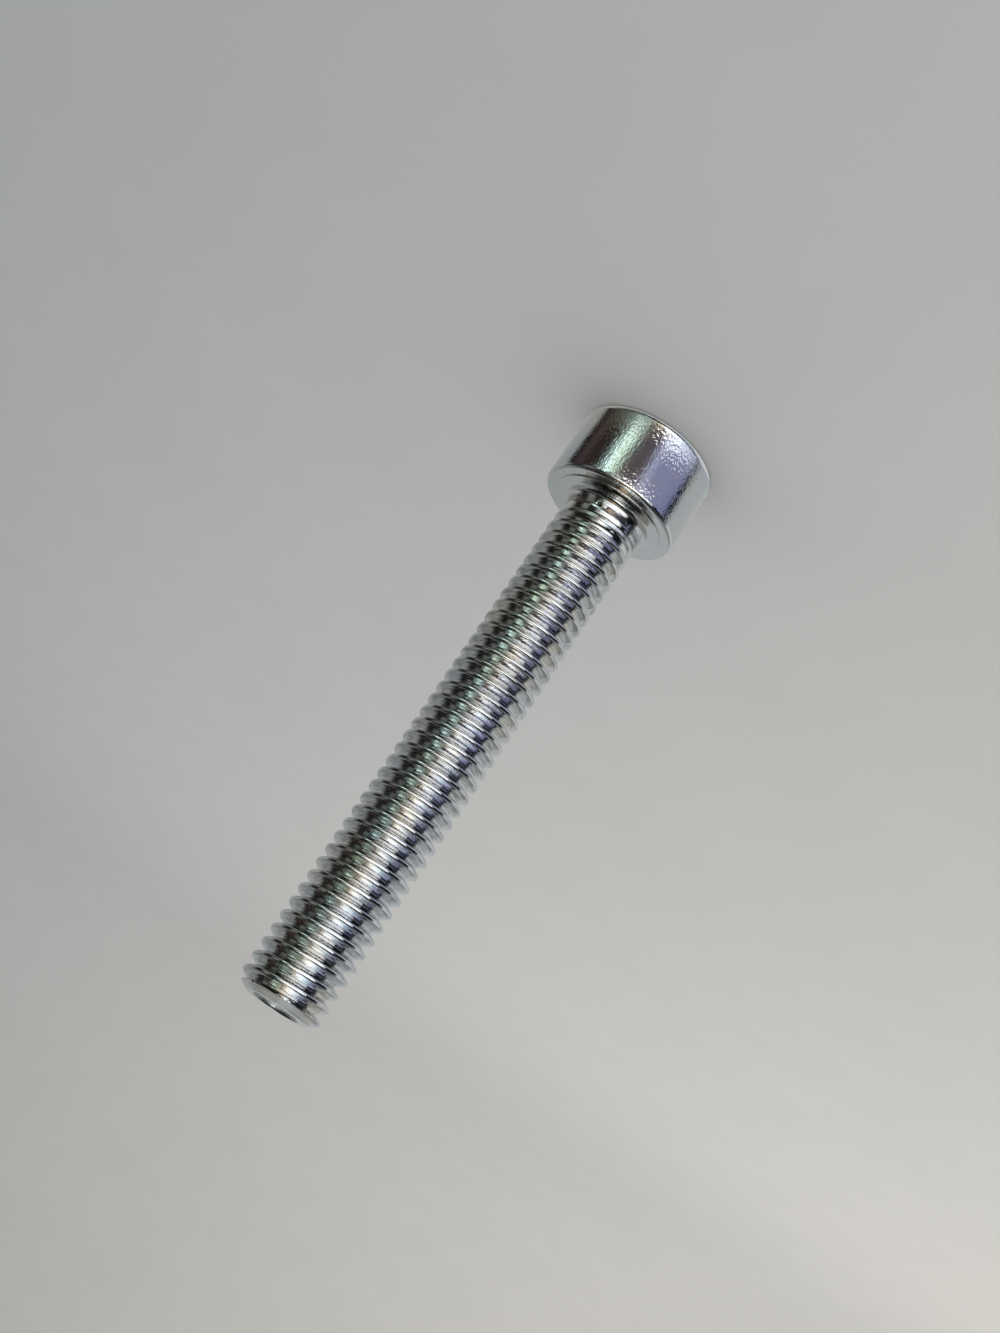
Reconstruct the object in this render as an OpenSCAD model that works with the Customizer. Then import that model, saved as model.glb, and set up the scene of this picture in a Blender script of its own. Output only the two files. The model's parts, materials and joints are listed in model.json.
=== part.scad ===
// Hex socket head cap screw with a metric coarse thread that runs nearly up to the head.
// It is one piece: a forged head and socket on a blank whose right-hand thread is rolled.
// The screw stands on its head with its axis along Z, the tip up and the origin at the
// middle of the top of the head, which is the face that it stands on.

/* [Thread] */
// Diameter over the thread crests
thread_d = 6; // [5:0.25:6.5]
// Rise of one turn of the thread
pitch = 1; // [0.75:0.05:1.25]
// Length from the bearing land under the head to the end of the thread
screw_len = 40; // [20:1:60]

/* [Tip] */
// Diameter of the end, inside its bevel
tip_d = 4.4; // [3.6:0.1:4.6]
// Angle between the end bevel and the axis
tip_bevel_angle = 60; // [45:1:65]
// Diameter of the hollow that rolling leaves in the end
hollow_d = 3; // [2:0.1:3.4]
// Depth of that hollow
hollow_depth = 0.15; // [0.05:0.05:0.4]

/* [Neck] */
// Distance from the bearing land to where the grooves end
groove_end = 1.3; // [1.2:0.1:3]
// Length over which the grooves and the crests run out
run_out_len = 1.6; // [1:0.1:3]
// How much nearer to the land than the grooves the crests run out
crest_lag = 0.3; // [0.1:0.1:0.4]
// How far the plain neck lies below the thread crests
neck_drop = 0.15; // [0.05:0.05:0.35]
// Radius of the fillet between the neck and the bearing land
neck_fillet = 0.55; // [0.3:0.05:0.8]

/* [Head] */
// Diameter of the head
head_d = 10; // [9.25:0.25:12]
// Height of the head, from its top to the bearing land
head_h = 6; // [5.5:0.25:8]
// Radius of the edge around the top of the head
top_round = 0.6; // [0.2:0.1:1]
// Radius of the edge around the bearing side of the head
rim_round = 0.3; // [0.1:0.05:0.4]
// Diameter of the raised land that bears on the clamped part
land_d = 8.3; // [8:0.1:8.4]
// Height of that land
land_h = 0.1; // [0.05:0.05:0.3]

/* [Socket] */
// Size of the hex key across its flats
key_af = 5; // [4:0.5:5.5]
// Play between the key and each flat of the socket
key_play = 0.04; // [0.01:0.01:0.07]
// Depth of the socket at its corners
socket_depth = 3; // [2:0.1:3.4]
// Full angle of its conical floor
floor_angle = 155; // [140:5:170]
// How far the bevel around its mouth reaches past the corners
mouth_margin = 0.12; // [0.05:0.01:0.3]
// Full angle of that bevel
mouth_angle = 90; // [80:5:120]

/* [Hidden] */
$fn = 96;

// ISO metric profile: its sharp triangle is cut off at the crest and at the root
crest_r = thread_d / 2;
triangle_h = pitch * cos(30);
root_r = crest_r - triangle_h * 17 / 24;
crest_flat = pitch / 8;
root_flat = pitch / 6;
flank_rise = (pitch - crest_flat - root_flat) / 2;
thread_profile = [
    [-crest_flat / 2 - flank_rise - root_flat, root_r],
    [-crest_flat / 2 - flank_rise, root_r],
    [-crest_flat / 2, crest_r],
    [crest_flat / 2, crest_r]
];

// The threaded rod runs from inside the head to beyond the tip, and is trimmed to form
turns_below_tip = ceil(screw_len / pitch) + 1;
turns = turns_below_tip + 2;
facet_budget = 10500;
turn_facets = min(30, floor(facet_budget / turns / (2 * len(thread_profile))));

// How far a cut stands clear of what it leaves, and joined pieces run into each other
clear = 0.5;
weld = 0.3;

neck_r = crest_r - neck_drop;
rim_r = head_d / 2;
hex_r = (key_af / 2 + key_play) / cos(30);
mouth_r = hex_r + mouth_margin;

// Point number j of the profile at facet number i of the helix, above the bearing land.
// The crest line comes to the end of the thread on its +X side.
function helix_point(i, j) =
    let(
        angle = 360 * i / turn_facets,
        rise = screw_len + pitch * (i / turn_facets - turns_below_tip),
        p = thread_profile[j]
    )
    [p[1] * cos(angle), p[1] * sin(angle), rise + p[0]];

// Right-hand threaded rod, longer than the thread at both ends
module threaded_rod() {
    sides = len(thread_profile);
    last = turns * turn_facets;
    helix = [
        for (i = [0:last + turn_facets])
            for (j = [0:sides - 1])
                helix_point(i, j)
    ];
    foot = len(helix);
    top = foot + 1;
    ends = [
        [0, 0, helix[0][2] - 2 * pitch],
        [0, 0, helix[foot - 1][2] + pitch]
    ];

    // Index of a point, where the profile's end is its start one turn further on
    function at(i, j) = j < sides ? sides * i + j : sides * (i + turn_facets);

    surface = [
        for (i = [0:last - 1])
            for (j = [0:sides - 1])
                each [
                    [at(i, j), at(i, j + 1), at(i + 1, j + 1)],
                    [at(i, j), at(i + 1, j + 1), at(i + 1, j)]
                ]
    ];
    end_cones = [
        for (i = [0:turn_facets - 1])
            each [
                [foot, at(i, 0), at(i + 1, 0)],
                [top, at(last + i + 1, 0), at(last + i, 0)]
            ]
    ];
    end_steps = [
        [foot, for (j = [sides:-1:0]) at(0, j)],
        [top, for (j = [0:sides]) at(last, j)]
    ];
    polyhedron(concat(helix, ends), concat(surface, end_cones, end_steps));
}

// Half outline that trims the rod: run-out of the crests, and bevel and hollow of the tip
module rod_outline() {
    wide_r = crest_r + clear;
    sunk = groove_end - crest_lag;
    slope = neck_drop / run_out_len;
    polygon([
        [0, sunk - weld],
        [neck_r - slope * weld, sunk - weld],
        [crest_r + slope * clear, sunk + run_out_len + clear],
        [wide_r, sunk + run_out_len + clear],
        [wide_r, screw_len - (wide_r - tip_d / 2) / tan(tip_bevel_angle)],
        [tip_d / 2, screw_len],
        [hollow_d / 2, screw_len],
        [0, screw_len - hollow_depth]
    ]);
}

module thread() {
    intersection() {
        threaded_rod();
        rotate_extrude() rod_outline();
    }
}

// Half outline of the neck, above the bearing land: its fillet, and the cone on which
// the grooves run out
module neck_outline() {
    slope = (neck_r - root_r) / run_out_len;
    polygon([
        [0, -weld],
        [neck_r, -weld],
        [neck_r, groove_end],
        [root_r - slope * weld, groove_end + run_out_len + weld],
        [0, groove_end + run_out_len + weld]
    ]);
    difference() {
        translate([neck_r - weld, -weld]) square([neck_fillet + weld, neck_fillet + weld]);
        translate([neck_r + neck_fillet, neck_fillet]) circle(neck_fillet);
    }
}

// Half outline of the head, from its top at z = 0 up to the bearing land
module head_outline() {
    under_z = head_h - land_h;
    rim_z = under_z - rim_round;
    translate([0, top_round]) square([land_d / 2, head_h - top_round]);
    translate([0, top_round]) square([rim_r - rim_round, under_z - top_round]);
    translate([0, top_round]) square([rim_r, rim_z - top_round]);
    square([rim_r - top_round, rim_z]);
    translate([rim_r - rim_round, rim_z]) circle(rim_round);
    translate([rim_r - top_round, top_round]) circle(top_round);
}

// Hexagonal socket, open downwards, with a conical floor and a bevelled mouth
module socket() {
    cone_h = clear + socket_depth + hex_r / tan(floor_angle / 2);
    mouth_h = clear + mouth_r / tan(mouth_angle / 2);
    translate([0, 0, -clear])
        intersection() {
            cylinder(r = hex_r, h = cone_h, $fn = 6);
            cylinder(r1 = cone_h * tan(floor_angle / 2), r2 = 0, h = cone_h);
        }
    translate([0, 0, -clear])
        cylinder(r1 = mouth_h * tan(mouth_angle / 2), r2 = 0, h = mouth_h);
}

module cap_screw() {
    color("silver") {
        translate([0, 0, head_h]) thread();
        difference() {
            rotate_extrude() {
                translate([0, head_h]) neck_outline();
                head_outline();
            }
            socket();
        }
    }
}

cap_screw();
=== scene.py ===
import json
import math

import bpy
import numpy as np
from mathutils import Matrix, Vector


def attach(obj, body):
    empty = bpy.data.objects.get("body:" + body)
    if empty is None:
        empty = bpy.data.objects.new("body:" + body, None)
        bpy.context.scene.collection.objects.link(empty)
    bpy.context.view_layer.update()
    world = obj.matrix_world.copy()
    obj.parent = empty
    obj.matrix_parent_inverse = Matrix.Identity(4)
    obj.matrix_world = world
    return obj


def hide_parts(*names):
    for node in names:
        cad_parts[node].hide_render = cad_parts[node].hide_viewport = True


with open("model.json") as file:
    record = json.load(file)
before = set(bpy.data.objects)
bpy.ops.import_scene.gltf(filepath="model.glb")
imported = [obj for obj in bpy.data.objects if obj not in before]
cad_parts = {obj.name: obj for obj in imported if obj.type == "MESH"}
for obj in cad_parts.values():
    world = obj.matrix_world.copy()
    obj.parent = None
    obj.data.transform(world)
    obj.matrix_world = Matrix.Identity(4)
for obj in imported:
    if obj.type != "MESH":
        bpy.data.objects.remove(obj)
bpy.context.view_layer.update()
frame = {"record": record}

bl_info = {
    "name": "Hex Socket Cap Screw",
    "version": (1, 0, 0),
    "blender": (4, 5, 0),
    "location": "View3D > Sidebar > Cap Screw",
    "description": ("Models a zinc-plated hex socket cap screw with a rolled thread, "
                    "and a small studio to show it in"),
    "category": "Mesh",
}

MM = 0.001
MOUNTS = {mount["name"]: mount for mount in frame["record"]["mounts"]}
LAND_Z = MOUNTS["bearing_land"]["pos_m"][2]
TIP_Z = MOUNTS["thread"]["pos_m"][2]
THREAD_R = MOUNTS["thread"]["dims"]["r_mm"] * MM
HEAD_R = MOUNTS["head_side"]["dims"]["r_mm"] * MM


# ---------------------------------------------------------------- sizes and colours


class ThreadSizes(bpy.types.PropertyGroup):
    """Sizes of the rolled thread, its neck and its tip"""

    radius: bpy.props.FloatProperty(
        name="Crest radius", description="Radius over the thread crests",
        default=THREAD_R, unit="LENGTH", precision=5)
    pitch: bpy.props.FloatProperty(
        name="Pitch", description="Rise of one turn of the thread",
        default=1.0 * MM, unit="LENGTH", precision=5)
    crest_flat: bpy.props.FloatProperty(
        name="Crest flat", description="Width of the flat that rolling leaves on a crest",
        default=0.24 * MM, unit="LENGTH", precision=5)
    crest_round: bpy.props.FloatProperty(
        name="Crest rounding", description="How softly a crest turns into its flanks",
        default=0.12 * MM, unit="LENGTH", precision=5)
    root_round: bpy.props.FloatProperty(
        name="Root rounding", description="How softly the flanks meet in the groove",
        default=0.06 * MM, unit="LENGTH", precision=5)
    neck_radius: bpy.props.FloatProperty(
        name="Neck radius", description="Radius of the plain neck under the head",
        default=2.85 * MM, unit="LENGTH", precision=5)
    groove_end: bpy.props.FloatProperty(
        name="Groove end", description="Distance from the bearing land to the end of the grooves",
        default=1.3 * MM, unit="LENGTH", precision=5)
    crest_lag: bpy.props.FloatProperty(
        name="Crest lag", description="How much nearer to the land the crests run out",
        default=0.3 * MM, unit="LENGTH", precision=5)
    run_out: bpy.props.FloatProperty(
        name="Run-out", description="Length over which the thread runs out at the neck",
        default=1.6 * MM, unit="LENGTH", precision=5)
    tip_radius: bpy.props.FloatProperty(
        name="Tip radius", description="Radius of the end inside its bevel",
        default=2.2 * MM, unit="LENGTH", precision=5)
    tip_angle: bpy.props.FloatProperty(
        name="Tip bevel", description="Angle between the end bevel and the axis",
        default=math.radians(60), subtype="ANGLE")
    hollow_radius: bpy.props.FloatProperty(
        name="Hollow radius", description="Radius of the hollow that rolling leaves in the end",
        default=1.75 * MM, unit="LENGTH", precision=5)
    hollow_depth: bpy.props.FloatProperty(
        name="Hollow depth", description="Depth of that hollow at its edge",
        default=0.13 * MM, unit="LENGTH", precision=5)


class HeadSizes(bpy.types.PropertyGroup):
    """Sizes of the head and its socket"""

    radius: bpy.props.FloatProperty(
        name="Head radius", description="Radius of the cylindrical head",
        default=HEAD_R, unit="LENGTH", precision=5)
    top_round: bpy.props.FloatProperty(
        name="Top rounding", description="Radius of the edge around the top of the head",
        default=0.6 * MM, unit="LENGTH", precision=5)
    rim_round: bpy.props.FloatProperty(
        name="Rim rounding", description="Radius of the edge around the bearing side",
        default=0.3 * MM, unit="LENGTH", precision=5)
    land_radius: bpy.props.FloatProperty(
        name="Land radius", description="Radius of the raised land that bears on the clamped part",
        default=4.15 * MM, unit="LENGTH", precision=5)
    land_height: bpy.props.FloatProperty(
        name="Land height", description="Height of that land",
        default=0.1 * MM, unit="LENGTH", precision=5)
    neck_fillet: bpy.props.FloatProperty(
        name="Neck fillet", description="Radius between the neck and the land",
        default=0.55 * MM, unit="LENGTH", precision=5)
    neck_taper: bpy.props.FloatProperty(
        name="Neck taper", description="Angle of the neck's wall, wider towards the land",
        default=math.radians(4), subtype="ANGLE")
    socket_flats: bpy.props.FloatProperty(
        name="Socket flats", description="Width of the socket across its flats",
        default=5.08 * MM, unit="LENGTH", precision=5)
    socket_depth: bpy.props.FloatProperty(
        name="Socket depth", description="Depth of the socket at its corners",
        default=3.0 * MM, unit="LENGTH", precision=5)
    floor_angle: bpy.props.FloatProperty(
        name="Floor angle", description="Full angle of the socket's conical floor",
        default=math.radians(155), subtype="ANGLE")
    mouth_margin: bpy.props.FloatProperty(
        name="Mouth bevel", description="How far the bevel of the mouth reaches past the corners",
        default=0.12 * MM, unit="LENGTH", precision=5)


class FinishColours(bpy.types.PropertyGroup):
    """Colours of the plating, as sRGB"""

    plating: bpy.props.StringProperty(
        name="Plating", description="Colour of the bright zinc", default="#DCDDDD")
    cool_tint: bpy.props.StringProperty(
        name="Cool tint", description="Where the passivation film looks bluish", default="#D7DADF")
    warm_tint: bpy.props.StringProperty(
        name="Warm tint", description="Where the passivation film looks straw-coloured",
        default="#DFDCD5")
    grime: bpy.props.StringProperty(
        name="Grime", description="In the tiny nicks of the plating", default="#4C4842")
    lines: bpy.props.StringProperty(
        name="Rolling lines", description="Thin dull lines round the thread", default="#C2C2C1")
    roughness: bpy.props.FloatProperty(
        name="Roughness", description="Roughness of the bright plating",
        default=0.05, subtype="FACTOR", min=0, max=1)


class StageSettings(bpy.types.PropertyGroup):
    """Place of the camera, and the light around the screw"""

    distance: bpy.props.FloatProperty(
        name="Camera distance", description="Distance of the camera from the screw's axis",
        default=0.1049, unit="LENGTH", precision=4)
    height: bpy.props.FloatProperty(
        name="Camera height", description="Height of the camera above the floor",
        default=0.0562, unit="LENGTH", precision=5)
    pitch: bpy.props.FloatProperty(
        name="Camera pitch", description="How far the camera looks down",
        default=math.radians(19.28), subtype="ANGLE")
    roll: bpy.props.FloatProperty(
        name="Camera roll", description="Turn of the camera about its line of sight",
        default=math.radians(-145.86), subtype="ANGLE")
    lens: bpy.props.FloatProperty(
        name="Lens", description="Focal length for a sensor 36 mm high",
        default=45.14, unit="CAMERA")
    floor_colour: bpy.props.StringProperty(
        name="Floor", description="Colour of the paper", default="#EDE8E0")
    floor_shade: bpy.props.StringProperty(
        name="Shaded floor", description="Colour of the paper where its light falls off",
        default="#B7B7B7")


# ---------------------------------------------------------------- shared steps

# Faces round the axis
SEGMENTS = 96
# Points nearer than this are one point
WELD = 0.001 * MM
# Largest turn from one outline point to the next in a rounded corner
ARC_STEP = math.radians(13)


def smooth_min(a, b, rounding):
    """The smaller of two values, with a rounded step from one to the other."""
    near = np.clip(1 - np.abs(a - b) / rounding, 0, 1)
    return np.minimum(a, b) - near * near * rounding / 4


def smooth_max(a, b, rounding):
    """The larger of two values, with a rounded step from one to the other."""
    return -smooth_min(-a, -b, rounding)


def soften(corners):
    """Turns corners of (radius, height, rounding) into points, with an arc at each rounded one."""
    points = []
    for index, (r, z, rounding) in enumerate(corners):
        here = Vector((r, z))
        if rounding <= 0 or index in (0, len(corners) - 1):
            points.append(here)
            continue
        back = (Vector(corners[index - 1][:2]) - here).normalized()
        ahead = (Vector(corners[index + 1][:2]) - here).normalized()
        opening = back.angle(ahead)
        centre = here + (back + ahead).normalized() * rounding / math.sin(opening / 2)
        start = here + back * rounding / math.tan(opening / 2) - centre
        end = here + ahead * rounding / math.tan(opening / 2) - centre
        steps = max(2, math.ceil((math.pi - opening) / ARC_STEP))
        turn = start.angle_signed(end)
        for step in range(steps + 1):
            angle = -turn * step / steps
            c, s = math.cos(angle), math.sin(angle)
            points.append(centre + Vector((start.x * c - start.y * s, start.x * s + start.y * c)))
    return points


def edit_all():
    """Enters edit mode with everything selected."""
    bpy.ops.object.mode_set(mode="EDIT")
    bpy.ops.mesh.select_all(action="SELECT")


def draw_outline(name, points):
    """Draws an open outline in the XZ plane by extruding one point to the next."""
    bpy.ops.object.select_all(action="DESELECT")
    bpy.ops.mesh.primitive_plane_add(size=MM, location=(0, 0, 0))
    piece = bpy.context.object
    piece.name = piece.data.name = name
    edit_all()
    bpy.ops.mesh.merge(type="CENTER")
    bpy.ops.transform.translate(value=(points[0][0], 0, points[0][1]))
    for last, point in zip(points, points[1:]):
        bpy.ops.mesh.extrude_region_move(
            TRANSFORM_OT_translate={"value": (point[0] - last[0], 0, point[1] - last[1])})
    bpy.ops.object.mode_set(mode="OBJECT")
    return piece


def revolve(piece):
    """Spins an outline once round the Z axis and closes its seam."""
    edit_all()
    bpy.ops.mesh.spin(steps=SEGMENTS, angle=math.tau, center=(0, 0, 0), axis=(0, 0, 1))
    bpy.ops.mesh.select_all(action="SELECT")
    bpy.ops.mesh.remove_doubles(threshold=WELD)
    bpy.ops.mesh.normals_make_consistent(inside=False)
    bpy.ops.object.mode_set(mode="OBJECT")


def combine(piece, other, operation):
    """Applies a boolean of two closed pieces and removes the second."""
    bpy.context.view_layer.objects.active = piece
    modifier = piece.modifiers.new(operation.title(), "BOOLEAN")
    modifier.object = other
    modifier.operation = operation
    modifier.solver = "EXACT"
    bpy.ops.object.modifier_apply(modifier=modifier.name)
    bpy.data.objects.remove(other, do_unlink=True)


def linear(colour):
    """Linear RGBA of an sRGB hex colour."""
    parts = [int(colour[i:i + 2], 16) / 255 for i in (1, 3, 5)]
    return [p / 12.92 if p <= 0.04045 else ((p + 0.055) / 1.055) ** 2.4 for p in parts] + [1.0]


def add_node(tree, kind, inputs=None, **settings):
    """Adds a node with its settings, and sets or links its inputs."""
    made = tree.nodes.new(kind)
    for name, value in settings.items():
        setattr(made, name, value)
    for name, value in (inputs or {}).items():
        if isinstance(value, bpy.types.NodeSocket):
            tree.links.new(value, made.inputs[name])
        else:
            made.inputs[name].default_value = value
    return made


def new_material(name):
    """An empty node material."""
    material = bpy.data.materials.new(name)
    material.use_nodes = True
    material.node_tree.nodes.clear()
    return material


# ---------------------------------------------------------------- the screw

# Heights where the thread's own surface meets the plain neck and the end bevel
NECK_SEAM = LAND_Z + 0.95 * MM
TIP_SEAM = TIP_Z - 0.1 * MM
# Depth of the grooves, as a share of the height of the thread's sharp triangle
ROOT_SHARE = 2 / 3
# Fall of a flank towards the groove, for each step along the axis
FLANK_SLOPE = math.tan(math.radians(60))
# Points of the profile to each side of the middle of a crest, as shares of the pitch
PROFILE_STEPS = np.array([0.06, 0.09, 0.115, 0.14, 0.18, 0.30, 0.43, 0.455, 0.475])
# How softly the thread fades into the neck, and how softly it turns into the end bevel
RUN_OUT_ROUND = 0.06 * MM
BEVEL_ROUND = 0.12 * MM


def groove_depth(pitch):
    """Depth of the grooves below the crests."""
    return pitch * math.cos(math.radians(30)) * ROOT_SHARE


def bevel_radius(sizes, z):
    """Radius of the end bevel at a height."""
    return sizes.tip_radius + (TIP_Z - z) * math.tan(sizes.tip_angle)


class CAPSCREW_OT_thread(bpy.types.Operator):
    """Rolls the thread: one turn's profile, screwed up the axis and trimmed at both ends"""

    bl_idname = "cap_screw.thread"
    bl_label = "Rolled Thread"

    def execute(self, context):
        sizes = context.scene.cap_screw_thread
        pitch = sizes.pitch
        # The profile of one pitch, from the middle of one groove to the middle of the next
        places = np.concatenate([[-0.5], -PROFILE_STEPS[::-1], [0], PROFILE_STEPS, [0.5]]) * pitch
        flank = sizes.radius + (sizes.crest_flat / 2 - np.abs(places)) * FLANK_SLOPE
        radii = smooth_max(flank, sizes.radius - groove_depth(pitch), sizes.root_round)
        radii = smooth_min(radii, sizes.radius, sizes.crest_round)

        # Two turns more than fit, so that there is thread to trim at both ends
        turns = math.ceil((TIP_Z - NECK_SEAM) / pitch) + 2
        start = TIP_Z - (turns - 1) * pitch
        points = [Vector((r, start + z)) for r, z in zip(radii, places)]
        thread = draw_outline("thread", points)
        screw = thread.modifiers.new("Roll", "SCREW")
        screw.axis = "Z"
        screw.angle = math.tau
        screw.screw_offset = pitch
        screw.iterations = turns
        screw.steps = screw.render_steps = SEGMENTS
        screw.use_merge_vertices = True
        bpy.ops.object.modifier_apply(modifier=screw.name)
        self.trim(thread.data, sizes)
        edit_all()
        bpy.ops.mesh.remove_doubles(threshold=WELD)
        bpy.ops.mesh.dissolve_degenerate(threshold=WELD)
        bpy.ops.mesh.normals_make_consistent(inside=False)
        bpy.ops.object.mode_set(mode="OBJECT")
        return {"FINISHED"}

    def trim(self, mesh, sizes):
        """Sets every point back to the run-out at the neck and to the bevel at the tip."""
        flat = np.empty(len(mesh.vertices) * 3)
        mesh.vertices.foreach_get("co", flat)
        points = flat.reshape(-1, 3)
        z = points[:, 2]
        r = np.hypot(points[:, 0], points[:, 1])
        # Two cones, one that lifts the grooves to the neck and one that lowers the crests to it
        up = z - LAND_Z
        low = sizes.radius - groove_depth(sizes.pitch)
        rise = (sizes.neck_radius - low) / sizes.run_out
        groove = sizes.neck_radius - (up - sizes.groove_end) * rise
        fall = (sizes.radius - sizes.neck_radius) / sizes.run_out
        crest = sizes.neck_radius + (up - sizes.groove_end + sizes.crest_lag) * fall
        crest = smooth_max(crest, sizes.neck_radius, RUN_OUT_ROUND)
        fit = smooth_max(r, groove, RUN_OUT_ROUND)
        fit = smooth_min(fit, crest, RUN_OUT_ROUND)
        fit = smooth_min(fit, bevel_radius(sizes, z), BEVEL_ROUND)
        # What lies past a seam is laid onto it
        fit[z < NECK_SEAM] = sizes.neck_radius
        fit[z > TIP_SEAM] = bevel_radius(sizes, TIP_SEAM)
        points[:, 0] *= fit / r
        points[:, 1] *= fit / r
        points[:, 2] = np.clip(z, NECK_SEAM, TIP_SEAM)
        mesh.vertices.foreach_set("co", points.ravel())
        mesh.update()


class CAPSCREW_OT_tip(bpy.types.Operator):
    """Turns the end of the thread, with the shallow hollow that rolling leaves in it"""

    bl_idname = "cap_screw.tip"
    bl_label = "Tip"

    def execute(self, context):
        sizes = context.scene.cap_screw_thread
        # The hollow's wall leans by half its depth, and its floor is a little deeper in the middle
        corners = [
            (bevel_radius(sizes, TIP_SEAM), TIP_SEAM, 0),
            (sizes.tip_radius, TIP_Z, 0.05 * MM),
            (sizes.hollow_radius, TIP_Z, 0.04 * MM),
            (sizes.hollow_radius - sizes.hollow_depth * 0.5, TIP_Z - sizes.hollow_depth, 0.06 * MM),
            (0, TIP_Z - sizes.hollow_depth * 1.3, 0),
        ]
        revolve(draw_outline("tip", soften(corners)))
        return {"FINISHED"}


class CAPSCREW_OT_head(bpy.types.Operator):
    """Forges the head: its revolved outline with the neck, and the hexagon socket in its top"""

    bl_idname = "cap_screw.head"
    bl_label = "Head and Socket"

    def execute(self, context):
        sizes = context.scene.cap_screw_head
        neck_r = context.scene.cap_screw_thread.neck_radius
        under = LAND_Z - sizes.land_height
        corners = [
            (0, 0, 0),
            (sizes.radius, 0, sizes.top_round),
            (sizes.radius, under, sizes.rim_round),
            (sizes.land_radius, under, 0.03 * MM),
            (sizes.land_radius, LAND_Z, 0.04 * MM),
            (neck_r + (NECK_SEAM - LAND_Z) * math.tan(sizes.neck_taper), LAND_Z, sizes.neck_fillet),
            (neck_r, NECK_SEAM, 0),
            (0, NECK_SEAM, 0),
        ]
        head = draw_outline("head", soften(corners))
        revolve(head)
        combine(head, self.socket(sizes), "DIFFERENCE")
        # The flat end of the neck goes, because the thread is joined on there
        bpy.ops.object.mode_set(mode="EDIT")
        bpy.ops.mesh.select_all(action="DESELECT")
        bpy.ops.object.mode_set(mode="OBJECT")
        for face in head.data.polygons:
            face.select = face.center.z > NECK_SEAM - WELD
        bpy.ops.object.mode_set(mode="EDIT")
        bpy.ops.mesh.select_mode(type="FACE")
        bpy.ops.mesh.delete(type="FACE")
        bpy.ops.mesh.select_mode(type="VERT")
        bpy.ops.object.mode_set(mode="OBJECT")
        return {"FINISHED"}

    def socket(self, sizes):
        """The punch: a hexagon with a conical nose, and a cone that bevels the mouth."""
        # How far the punch stands out of the head, so that it cuts through the top
        clear = 0.5 * MM
        hex_r = sizes.socket_flats / 2 / math.cos(math.radians(30))
        mouth_r = hex_r + sizes.mouth_margin
        nose = sizes.socket_depth + hex_r / math.tan(sizes.floor_angle / 2)
        bpy.ops.object.select_all(action="DESELECT")
        bpy.ops.mesh.primitive_cylinder_add(
            vertices=6, radius=hex_r, depth=nose + clear, location=(0, 0, 0))
        punch = bpy.context.object
        punch.name = "punch"
        edit_all()
        bpy.ops.transform.translate(value=(0, 0, (nose - clear) / 2))
        bpy.ops.transform.rotate(value=math.radians(30), orient_axis="Z", center_override=(0, 0, 0))
        # The six long edges are rounded
        bpy.ops.mesh.select_all(action="DESELECT")
        bpy.ops.object.mode_set(mode="OBJECT")
        for edge in punch.data.edges:
            a, b = (punch.data.vertices[i].co for i in edge.vertices)
            edge.select = abs(a.z - b.z) > nose / 2
        bpy.ops.object.mode_set(mode="EDIT")
        bpy.ops.mesh.select_mode(type="EDGE")
        bpy.ops.mesh.bevel(offset=0.06 * MM, segments=3)
        bpy.ops.mesh.select_mode(type="VERT")
        bpy.ops.object.mode_set(mode="OBJECT")
        for name, tall, foot, operation in (
            ("nose", nose + clear, (nose + clear) * math.tan(sizes.floor_angle / 2), "INTERSECT"),
            ("mouth", mouth_r + clear, mouth_r + clear, "UNION"),
        ):
            bpy.ops.object.select_all(action="DESELECT")
            bpy.ops.mesh.primitive_cone_add(
                vertices=SEGMENTS, radius1=foot, radius2=0, depth=tall, location=(0, 0, 0))
            cone = bpy.context.object
            cone.name = name
            edit_all()
            bpy.ops.transform.translate(value=(0, 0, tall / 2 - clear))
            bpy.ops.object.mode_set(mode="OBJECT")
            combine(punch, cone, operation)
        return punch


class CAPSCREW_OT_join(bpy.types.Operator):
    """Joins thread, tip and head into the one piece that the screw is"""

    bl_idname = "cap_screw.join"
    bl_label = "Join and Plate"

    def execute(self, context):
        bpy.ops.object.select_all(action="DESELECT")
        for name in ("head", "tip", "thread"):
            context.scene.objects[name].select_set(True)
            context.view_layer.objects.active = context.scene.objects[name]
        bpy.ops.object.join()
        screw = context.object
        screw.name = screw.data.name = "plated_cap_screw"
        edit_all()
        bpy.ops.mesh.remove_doubles(threshold=2 * WELD)
        bpy.ops.mesh.normals_make_consistent(inside=False)
        bpy.ops.object.mode_set(mode="OBJECT")
        # Only edges that turn by more than this stay sharp, such as the socket's
        bpy.ops.object.shade_smooth_by_angle(angle=math.radians(32))
        screw.data.materials.clear()
        screw.data.materials.append(bright_zinc(context.scene.cap_screw_finish))
        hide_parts("cap_screw")
        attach(screw, "root")
        return {"FINISHED"}


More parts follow.
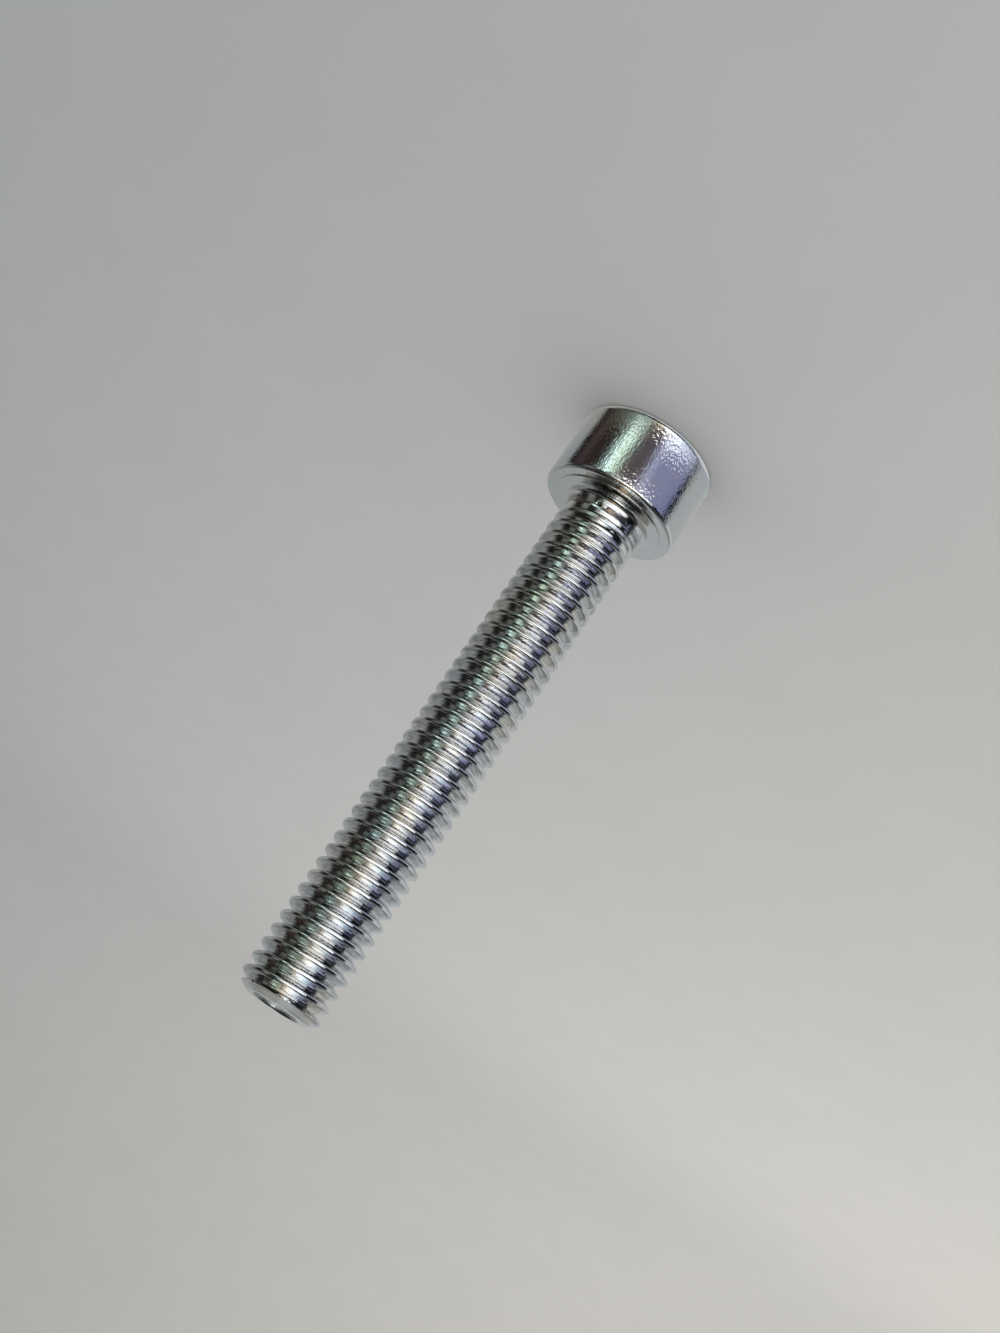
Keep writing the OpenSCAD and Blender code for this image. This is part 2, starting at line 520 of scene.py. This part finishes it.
def bright_zinc(colours):
    """Bright electroplated zinc on rolled and forged steel, clear passivated."""
    # The bath levels the steel to a mirror with a fine orange peel, so it looks like chrome
    # with broken-up edges, and the passivation film tints it from bluish to straw.
    material = new_material("bright_electroplated_zinc")
    tree = material.node_tree
    place = add_node(tree, "ShaderNodeTexCoord").outputs["Object"]

    # Orange peel of the forged head: grains of 0.13 mm, twice as long along the axis as across
    drawn = add_node(tree, "ShaderNodeMapping", {"Vector": place, "Scale": (1.0, 1.0, 0.5)})
    peel = add_node(tree, "ShaderNodeTexNoise", {
        "Vector": drawn.outputs["Vector"], "Scale": 1 / (0.13 * MM),
        "Detail": 1.0, "Roughness": 0.5})
    # The rolled thread has streaks round it as well, 0.12 mm wide and about 2 mm long
    stretched = add_node(tree, "ShaderNodeMapping", {"Vector": place, "Scale": (0.06, 0.06, 1.0)})
    streaks = add_node(tree, "ShaderNodeTexNoise", {
        "Vector": stretched.outputs["Vector"], "Scale": 1 / (0.12 * MM),
        "Detail": 1.0, "Roughness": 0.5})
    height = add_node(tree, "ShaderNodeSeparateXYZ", {"Vector": place}).outputs["Z"]
    rolled = add_node(tree, "ShaderNodeMapRange", {
        "Value": height, "From Min": LAND_Z, "From Max": LAND_Z + 0.3 * MM}).outputs["Result"]
    both = add_node(tree, "ShaderNodeMath", {
        0: streaks.outputs["Fac"], 1: peel.outputs["Fac"]}, operation="ADD").outputs[0]
    both = add_node(tree, "ShaderNodeMath", {0: both, 1: 0.5}, operation="MULTIPLY").outputs[0]
    grain = add_node(tree, "ShaderNodeMix", {
        0: rolled, 2: peel.outputs["Fac"], 3: both}, data_type="FLOAT").outputs[0]
    # Slow waviness of the forged and rolled surface, about 0.7 mm
    waves = add_node(tree, "ShaderNodeTexNoise", {
        "Vector": place, "Scale": 1 / (0.7 * MM), "Detail": 1.0, "Roughness": 0.5})
    # Patches of the passivation film, about 3 mm, from bluish through clear to straw
    film = add_node(tree, "ShaderNodeTexNoise", {
        "Vector": place, "Scale": 1 / (3 * MM), "Detail": 2.0, "Roughness": 0.6})

    tint = add_node(tree, "ShaderNodeValToRGB", {"Fac": film.outputs["Fac"]})
    ramp = tint.color_ramp
    ramp.elements[0].position, ramp.elements[0].color = 0.36, linear(colours.cool_tint)
    ramp.elements[1].position, ramp.elements[1].color = 0.64, linear(colours.warm_tint)
    ramp.elements.new(0.5).color = linear(colours.plating)

    # Tiny dull nicks and grime in the plating, up to about 0.1 mm, dark against the bright metal
    nicks = add_node(tree, "ShaderNodeTexNoise", {
        "Vector": place, "Scale": 1 / (0.4 * MM), "Detail": 3.0, "Roughness": 0.7})
    nicks = add_node(tree, "ShaderNodeMapRange", {
        "Value": nicks.outputs["Fac"], "From Min": 0.70, "From Max": 0.74}).outputs["Result"]
    worn = add_node(tree, "ShaderNodeMix", {
        0: nicks, 6: tint.outputs["Color"], 7: linear(colours.grime)}, data_type="RGBA").outputs[2]
    # The rolling lines round the thread are duller than the metal between them
    lines = add_node(tree, "ShaderNodeMapRange", {
        "Value": streaks.outputs["Fac"], "From Min": 0.47, "From Max": 0.38}).outputs["Result"]
    lines = add_node(tree, "ShaderNodeMath", {0: lines, 1: rolled}, operation="MULTIPLY").outputs[0]
    worn = add_node(tree, "ShaderNodeMix", {
        0: lines, 6: worn, 7: linear(colours.lines)}, data_type="RGBA").outputs[2]

    # The hollows of the peel are a little glossier than its bumps
    gloss = add_node(tree, "ShaderNodeMapRange", {
        "Value": grain, "From Min": 0.35, "From Max": 0.7,
        "To Min": colours.roughness * 0.8, "To Max": colours.roughness * 1.3})
    # Relief: 0.006 mm in the waves, and in the grain 0.014 mm on the head and 0.012 on the thread
    slow = add_node(tree, "ShaderNodeBump", {
        "Height": waves.outputs["Fac"], "Strength": 1.0, "Distance": 0.006 * MM})
    depth = add_node(tree, "ShaderNodeMapRange", {
        "Value": rolled, "To Min": 0.014 * MM, "To Max": 0.012 * MM}).outputs["Result"]
    fine = add_node(tree, "ShaderNodeBump", {
        "Height": grain, "Strength": 1.0, "Distance": depth,
        "Normal": slow.outputs["Normal"]})
    shader = add_node(tree, "ShaderNodeBsdfPrincipled", {
        "Base Color": worn, "Metallic": 1.0,
        "Roughness": gloss.outputs["Result"], "Normal": fine.outputs["Normal"]})
    add_node(tree, "ShaderNodeOutputMaterial", {"Surface": shader.outputs["BSDF"]})
    return material


# ---------------------------------------------------------------- the studio

# The paper sweep: how far it reaches, the curve up into its walls, and their height
SWEEP_REACH, SWEEP_CURVE, SWEEP_HEIGHT = 0.6, 0.18, 0.2
# How far the camera's line of sight leans to +X, as a share of its length
SIDE_LOOK = 0.0024


class CAPSCREW_OT_stage(bpy.types.Operator):
    """Sets up the pale floor, the soft light and the camera"""

    bl_idname = "cap_screw.stage"
    bl_label = "Studio"

    def execute(self, context):
        settings = context.scene.cap_screw_stage
        self.floor(settings)
        self.world(context.scene)
        self.lights()
        self.camera(context.scene, settings)
        context.scene.view_settings.view_transform = "Standard"
        return {"FINISHED"}

    def floor(self, settings):
        """A seamless sweep all round: a flat floor that curves up into its walls."""
        outline = soften([
            (0, 0, 0), (SWEEP_REACH, 0, SWEEP_CURVE), (SWEEP_REACH, SWEEP_HEIGHT, 0)])
        floor = draw_outline("studio_floor", outline)
        revolve(floor)
        edit_all()
        bpy.ops.mesh.flip_normals()
        bpy.ops.object.mode_set(mode="OBJECT")
        bpy.ops.object.shade_smooth()
        material = new_material("matt_paper_sweep")
        tree = material.node_tree
        # Uncoated paper: matt, and faintly cloudy in patches of about 17 mm
        place = add_node(tree, "ShaderNodeTexCoord").outputs["Object"]
        cloud = add_node(tree, "ShaderNodeTexNoise", {
            "Vector": place, "Scale": 60.0, "Detail": 3.0, "Roughness": 0.5})
        cloud = add_node(tree, "ShaderNodeMapRange", {
            "Value": cloud.outputs["Fac"], "To Min": 0.97, "To Max": 1.03}).outputs["Result"]
        # Painted shade: the paper darkens to one side, as if its light fell off, across lines that
        # fan out from a place 0.4 m in front of the screw
        x, y = add_node(tree, "ShaderNodeSeparateXYZ", {"Vector": place}).outputs[:2]
        away = add_node(tree, "ShaderNodeMath", {0: y, 1: 0.4}, operation="ADD").outputs[0]
        away = add_node(tree, "ShaderNodeMath", {0: away, 1: 0.1}, operation="MAXIMUM").outputs[0]
        aside = add_node(tree, "ShaderNodeMath", {0: x, 1: away}, operation="DIVIDE").outputs[0]
        ahead = add_node(tree, "ShaderNodeMath", {0: y, 1: 0.27}, operation="MULTIPLY").outputs[0]
        across = add_node(tree, "ShaderNodeMath", {
            0: ahead, 1: aside}, operation="SUBTRACT").outputs[0]
        across = add_node(tree, "ShaderNodeMapRange", {
            "Value": across, "From Min": -0.13, "From Max": 0.30}).outputs["Result"]
        shade = add_node(tree, "ShaderNodeMix", {
            0: across, 6: linear(settings.floor_shade), 7: linear(settings.floor_colour)},
            data_type="RGBA").outputs[2]
        paper = add_node(tree, "ShaderNodeVectorMath", {
            0: shade, "Scale": cloud}, operation="SCALE").outputs["Vector"]
        shader = add_node(tree, "ShaderNodeBsdfPrincipled", {
            "Base Color": paper, "Roughness": 0.9, "Specular IOR Level": 0.1})
        add_node(tree, "ShaderNodeOutputMaterial", {"Surface": shader.outputs["BSDF"]})
        floor.data.materials.append(material)
        floor.visible_glossy = False

    def world(self, scene):
        """Plain soft light all round, and the softboxes and dark flags that the metal mirrors."""
        world = bpy.data.worlds.new("studio")
        scene.world = world
        world.use_nodes = True
        # Its light is the same from all sides, so no map of it is needed for sampling
        world.cycles.sampling_method = "NONE"
        tree = world.node_tree
        tree.nodes.clear()
        # Each direction's angle round the axis, and its elevation
        ways = add_node(tree, "ShaderNodeTexCoord").outputs["Generated"]
        x, y, z = add_node(tree, "ShaderNodeSeparateXYZ", {"Vector": ways}).outputs
        aside = add_node(tree, "ShaderNodeMath", {0: x, 1: -1.0}, operation="MULTIPLY").outputs[0]
        front = add_node(tree, "ShaderNodeMath", {0: y, 1: -1.0}, operation="MULTIPLY").outputs[0]
        turn = add_node(tree, "ShaderNodeMath", {
            0: aside, 1: front}, operation="ARCTAN2").outputs[0]
        turn = add_node(tree, "ShaderNodeMapRange", {
            "Value": turn, "From Min": -math.pi, "From Max": math.pi}).outputs["Result"]
        level = add_node(tree, "ShaderNodeMath", {0: z}, operation="ARCSINE").outputs[0]
        mirrored = self.ring(tree, turn, MIRRORED[0][0])
        for table, start, end in MIRRORED[1:]:
            colour = self.ring(tree, turn, table)
            rise = add_node(tree, "ShaderNodeMapRange", {
                "Value": level, "From Min": math.radians(start), "From Max": math.radians(end)},
                interpolation_type="SMOOTHSTEP").outputs["Result"]
            mirrored = add_node(tree, "ShaderNodeMix", {
                0: rise, 6: mirrored, 7: colour}, data_type="RGBA").outputs[2]
        # Between the softboxes stand leafy branches and window bars, too fine to draw one by one:
        # spots about 3 degrees wide
        twigs = add_node(tree, "ShaderNodeTexNoise", {
            "Vector": ways, "Scale": 20.0, "Detail": 2.0, "Roughness": 0.6}).outputs["Fac"]
        twigs = add_node(tree, "ShaderNodeMapRange", {
            "Value": twigs, "From Min": 0.38, "From Max": 0.62,
            "To Min": 0.15, "To Max": 1.9}).outputs["Result"]
        there = self.ring(tree, turn, TWIGS)
        twigs = add_node(tree, "ShaderNodeMix", {
            0: there, 2: 1.0, 3: twigs}, data_type="FLOAT").outputs[0]
        mirrored = add_node(tree, "ShaderNodeVectorMath", {
            0: mirrored, "Scale": twigs}, operation="SCALE").outputs["Vector"]
        glossy = add_node(tree, "ShaderNodeLightPath").outputs["Is Glossy Ray"]
        seen = add_node(tree, "ShaderNodeMix", {
            0: glossy, 6: linear("#DFE2E5"), 7: mirrored}, data_type="RGBA").outputs[2]
        sky = add_node(tree, "ShaderNodeBackground", {"Color": seen, "Strength": 1.0})
        add_node(tree, "ShaderNodeOutputWorld", {"Surface": sky.outputs["Background"]})

    def ring(self, tree, turn, table):
        """A ramp round the axis through the table's angles, colours and gains."""
        made = add_node(tree, "ShaderNodeValToRGB", {"Fac": turn})
        ramp = made.color_ramp
        stops = [((angle + 180) / 360, [c * gain for c in linear(colour)[:3]] + [1])
                 for angle, colour, gain in table]
        ramp.elements[0].position, ramp.elements[0].color = stops[0]
        ramp.elements[1].position, ramp.elements[1].color = stops[-1]
        for place, tone in stops[1:-1]:
            ramp.elements.new(place).color = tone
        return made.outputs["Color"]

    def lights(self):
        """One large soft lamp above and behind, a little warm."""
        light = bpy.data.lights.new("softbox_key", "AREA")
        light.shape, light.size, light.energy = "DISK", 0.30, 0.07
        light.color = linear("#FFFBF2")[:3]
        lamp = bpy.data.objects.new("softbox_key", light)
        bpy.context.scene.collection.objects.link(lamp)
        place, target = Vector((-0.08, 0.16, 0.20)), Vector((0, 0, 0.02))
        lamp.location = place
        lamp.rotation_euler = (target - place).to_track_quat("-Z", "Y").to_euler()
        lamp.visible_glossy = False

    def camera(self, scene, settings):
        """Looks down at the screw from the front, rolled so that its axis runs across the frame."""
        data = bpy.data.cameras.new("camera")
        data.sensor_width = 36
        data.lens = settings.lens
        data.clip_start = 1 * MM
        camera = bpy.data.objects.new("camera", data)
        scene.collection.objects.link(camera)
        ahead = Vector((SIDE_LOOK, math.cos(settings.pitch), -math.sin(settings.pitch)))
        view = ahead.normalized().to_track_quat("-Z", "Y").to_matrix().to_4x4()
        place = Matrix.Translation((0, -settings.distance, settings.height))
        camera.matrix_world = place @ view @ Matrix.Rotation(settings.roll, 4, "Z")
        scene.camera = camera


# What the plating mirrors, ring above ring, each with the surfaces that mostly mirror it. A stop is
# an angle round the axis (0 towards the camera, positive towards -X), a colour and its gain. After
# a ring's stops come the two elevations, in degrees, between which it takes over from the one
# below it.
PALE_RIGHT, PALE_LEFT = "#A5A9A7", "#B4B8B9"
MIRRORED = [
    # Straight below, under the screw
    ([(-180, "#D2D6DC", 1), (-152, "#D2D6DC", 1), (-130, PALE_RIGHT, 1), (-112, PALE_RIGHT, 1),
      (-90, "#201F1D", 1), (-40, "#1C1C1A", 1), (-12, "#2A2A28", 1), (12, "#2A2A2E", 1),
      (40, "#1E1E22", 1), (80, "#3A3C40", 1), (98, PALE_LEFT, 1), (130, PALE_LEFT, 1),
      (152, "#D2D6DC", 1), (180, "#D2D6DC", 1)], -90, -90),
    # The flanks that face the tip
    ([(-180, PALE_RIGHT, 1), (-118, PALE_RIGHT, 1), (-104, "#808282", 1), (-95, "#50514F", 1),
      (-84, "#54554D", 1), (-70, "#5C6058", 1), (-62, "#6C7268", 1), (-53, "#8B9C90", 1),
      (-42, "#A4B7AB", 1), (-30, "#A3B0A5", 1), (-22, "#BDC4B4", 1), (-15, "#C9B79C", 1),
      (-9, "#F3EFE2", 1.3), (0, "#FFFDF6", 1.9), (14, "#FDFFFC", 2.2), (26, "#F6FEFD", 1.9),
      (36, "#EAF6FA", 1.6), (44, "#C8DCEA", 1.2), (52, "#B4C2D4", 1.1), (62, "#9AA4B8", 1.1),
      (68, "#666C7E", 1), (73, "#484C5A", 1), (78, "#686E7A", 1), (85, "#A0A8B0", 1.15),
      (94, PALE_LEFT, 1.5), (180, PALE_LEFT, 1.5)], -64, -59),
    # The same flanks near the head
    ([(-180, PALE_RIGHT, 1), (-119, "#9A9D9E", 1), (-111, "#161412", 1), (-100, "#3B3A36", 1),
      (-90, "#52534B", 1), (-80, "#5A5B54", 1), (-62, "#7A8078", 1), (-52, "#8B9C90", 1),
      (-44, "#B4CABE", 1.2), (-34, "#A8BAAC", 1.1), (-25, "#8A9490", 1), (-18, "#5C5A5C", 1),
      (2, "#6A6068", 1), (10, "#C2C4DE", 1.1), (20, "#F4F6FF", 1.4), (60, "#E6EAFA", 1.15),
      (74, "#B6BCD2", 1), (80, "#5A5E6A", 1), (88, "#A1A5AA", 1), (100, PALE_LEFT, 1),
      (180, PALE_LEFT, 1)], -36.2, -35.2),
    # The same flanks near the head, further round
    ([(-180, PALE_RIGHT, 1), (-119, "#9A9D9E", 1), (-111, "#161412", 1), (-100, "#3E3B36", 1),
      (-90, "#4C4B45", 1), (-80, "#50524A", 1), (-62, "#6A7068", 1), (-52, "#90A39F", 1),
      (-44, "#D2E8DC", 1.3), (-34, "#C0D4C6", 1.2), (-25, "#8A9490", 1), (-18, "#5C5A5C", 1),
      (0, "#5C5257", 1), (8, "#7A7688", 1), (16, "#B0B5CF", 1.1), (24, "#8F93B2", 1),
      (62, "#8C8EB0", 1), (74, "#9A9EB8", 1), (80, "#787C88", 1), (86, "#7C8088", 1),
      (91, "#A1A5AA", 1), (100, PALE_LEFT, 1), (180, PALE_LEFT, 1)], -33.2, -31.8),
    # The wall of the head, and the crests and grooves near it
    ([(-180, PALE_RIGHT, 1), (-119, "#9A9D9E", 1), (-111, "#161412", 1), (-100, "#3E3434", 1),
      (-90, "#4C4141", 1), (-80, "#302624", 1), (-62, "#35342F", 1), (-52, "#90A39F", 1),
      (-44, "#E4FFF6", 1.5), (-34, "#CCE6D6", 1.3), (-25, "#8A9490", 1), (-18, "#5C5A5C", 1),
      (0, "#5C5257", 1), (8, "#7A7688", 1), (16, "#B0B5CF", 1.1), (24, "#8F93B2", 1),
      (62, "#8C8EB0", 1), (75, "#7E84A6", 1), (79.5, "#17161B", 1), (84.5, "#17161B", 1),
      (90, "#A1A5AA", 1), (100, PALE_LEFT, 1), (180, PALE_LEFT, 1)], -30.6, -29.8),
    # The crests and grooves
    ([(-180, PALE_RIGHT, 1), (-112, "#A3A4A3", 1), (-102, "#6A6B69", 1), (-94, "#242422", 1),
      (-80, "#2A2A28", 1), (-71, "#767977", 1), (-60, "#80837F", 1), (-52, "#2A2D27", 1),
      (-40, "#2E322C", 1), (-31, "#7C827C", 1), (-20, "#EEF2EF", 1.1), (0, "#FFFFFC", 1.9),
      (30, "#FFFFFF", 1.9), (42, "#F0F2F4", 1.4), (49, "#2C2C31", 1), (56, "#17171A", 1),
      (74, "#17171A", 1), (84, "#55585C", 1), (92, "#C8CCCE", 1.08), (102, "#C4C8CA", 1.1),
      (140, "#C0C4C6", 1), (180, PALE_LEFT, 1)], -21, -17.5),
    # A dark strip above the horizon
    ([(-180, PALE_RIGHT, 1), (-119, "#9A9D9E", 1), (-111, "#2A2826", 1), (-90, "#2A2A28", 1),
      (-60, "#3A3C38", 1), (-35, "#2C2E2A", 1), (-15, "#4A443E", 1), (0, "#6A5E50", 1),
      (15, "#3A3836", 1), (40, "#1E1E22", 1), (84, "#26282B", 1), (94, "#A4A8AA", 1),
      (104, "#C0C4C6", 1), (180, PALE_LEFT, 1)], 8, 12),
    # A low warm light in front: the land under the head
    ([(-180, PALE_RIGHT, 1), (-160, PALE_RIGHT, 1), (-148, "#868987", 1), (-114, "#868987", 1),
      (-100, "#5A5C5A", 1), (-60, "#4C4E47", 1), (-30, "#6A6A62", 1), (-12, "#9A8A68", 1),
      (-4, "#E8C08A", 1.3), (6, "#D6CCBA", 1.1), (20, "#8A8682", 1), (34, "#5C5C60", 1),
      (84, "#4A4C50", 1), (100, "#8C8F8E", 1), (148, "#909392", 1), (160, PALE_LEFT, 1),
      (180, PALE_LEFT, 1)], 19, 22),
    # The flanks that face the head, at the sides
    ([(-180, PALE_RIGHT, 1), (-160, PALE_RIGHT, 1), (-148, "#868987", 1), (-114, "#868987", 1),
      (-100, "#242322", 1), (-40, "#161614", 1), (0, "#1C1B1A", 1), (40, "#18181C", 1),
      (84, "#26282B", 1), (100, "#8C8F8E", 1), (148, "#909392", 1), (160, PALE_LEFT, 1),
      (180, PALE_LEFT, 1)], 33, 36),
    # The same flanks in front, and the end bevel
    ([(-180, PALE_RIGHT, 1), (-150, "#8A8C8C", 1), (-135, "#4A4B48", 1), (-118, "#1E201D", 1),
      (-70, "#1E271F", 1), (-50, "#565F58", 1), (-35, "#848781", 1), (-18, "#A39E93", 1),
      (-2, "#F0F1EA", 2.0), (22, "#EBF0EF", 2.1), (38, "#D2DDDA", 1.3), (52, "#A4B2B6", 1),
      (70, "#6E7A7B", 1), (82, "#131415", 1), (98, "#131415", 1), (108, "#585C64", 1),
      (122, PALE_LEFT, 1), (180, PALE_LEFT, 1)], 60, 65),
    # Straight above
    ([(-180, "#A3A6A6", 1), (-125, "#7C7E7C", 1), (-100, "#44453F", 1), (-70, "#4A4C46", 1),
      (-52, "#D8DCD6", 1.1), (-38, "#C6C8C2", 1), (-22, "#86857F", 1), (-10, "#38383A", 1),
      (30, "#38383C", 1), (42, "#6A6C70", 1), (54, "#C8CCD4", 1), (76, "#B0B4BC", 1),
      (94, "#4C4E55", 1), (106, "#5E6066", 1), (124, PALE_LEFT, 1), (180, "#AEB1B2", 1)], 79, 84),
]
# Where the twigs and bars stand, as a share of their full contrast
TWIGS = [(-180, "#000000", 1), (-68, "#000000", 1), (-58, "#E0E0E0", 1), (-24, "#E0E0E0", 1),
         (-12, "#4A4A4A", 1), (60, "#4A4A4A", 1), (72, "#707070", 1), (84, "#707070", 1),
         (94, "#000000", 1), (180, "#000000", 1)]


# ---------------------------------------------------------------- the panel


class CAPSCREW_PT_panel(bpy.types.Panel):
    """Lists the steps that make the cap screw"""

    bl_idname = "CAPSCREW_PT_panel"
    bl_label = "Cap Screw"
    bl_space_type = "VIEW_3D"
    bl_region_type = "UI"
    bl_category = "Cap Screw"

    def draw(self, context):
        layout = self.layout
        for group, steps in (
            (context.scene.cap_screw_thread, ("cap_screw.thread", "cap_screw.tip")),
            (context.scene.cap_screw_head, ("cap_screw.head",)),
            (context.scene.cap_screw_finish, ("cap_screw.join",)),
            (context.scene.cap_screw_stage, ("cap_screw.stage",)),
        ):
            box = layout.box()
            for name in group.bl_rna.properties.keys():
                if name not in ("rna_type", "name"):
                    box.prop(group, name)
            for step in steps:
                box.operator(step)


GROUPS = {
    "cap_screw_thread": ThreadSizes,
    "cap_screw_head": HeadSizes,
    "cap_screw_finish": FinishColours,
    "cap_screw_stage": StageSettings,
}
OPERATORS = (
    CAPSCREW_OT_thread, CAPSCREW_OT_tip, CAPSCREW_OT_head, CAPSCREW_OT_join, CAPSCREW_OT_stage)


def register():
    for name, group in GROUPS.items():
        bpy.utils.register_class(group)
        setattr(bpy.types.Scene, name, bpy.props.PointerProperty(type=group))
    for kind in OPERATORS + (CAPSCREW_PT_panel,):
        bpy.utils.register_class(kind)


def unregister():
    for kind in reversed(OPERATORS + (CAPSCREW_PT_panel,)):
        bpy.utils.unregister_class(kind)
    for name, group in GROUPS.items():
        delattr(bpy.types.Scene, name)
        bpy.utils.unregister_class(group)


def main():
    register()
    bpy.ops.cap_screw.thread()
    bpy.ops.cap_screw.tip()
    bpy.ops.cap_screw.head()
    bpy.ops.cap_screw.join()
    bpy.ops.cap_screw.stage()


if __name__ == "__main__":
    main()
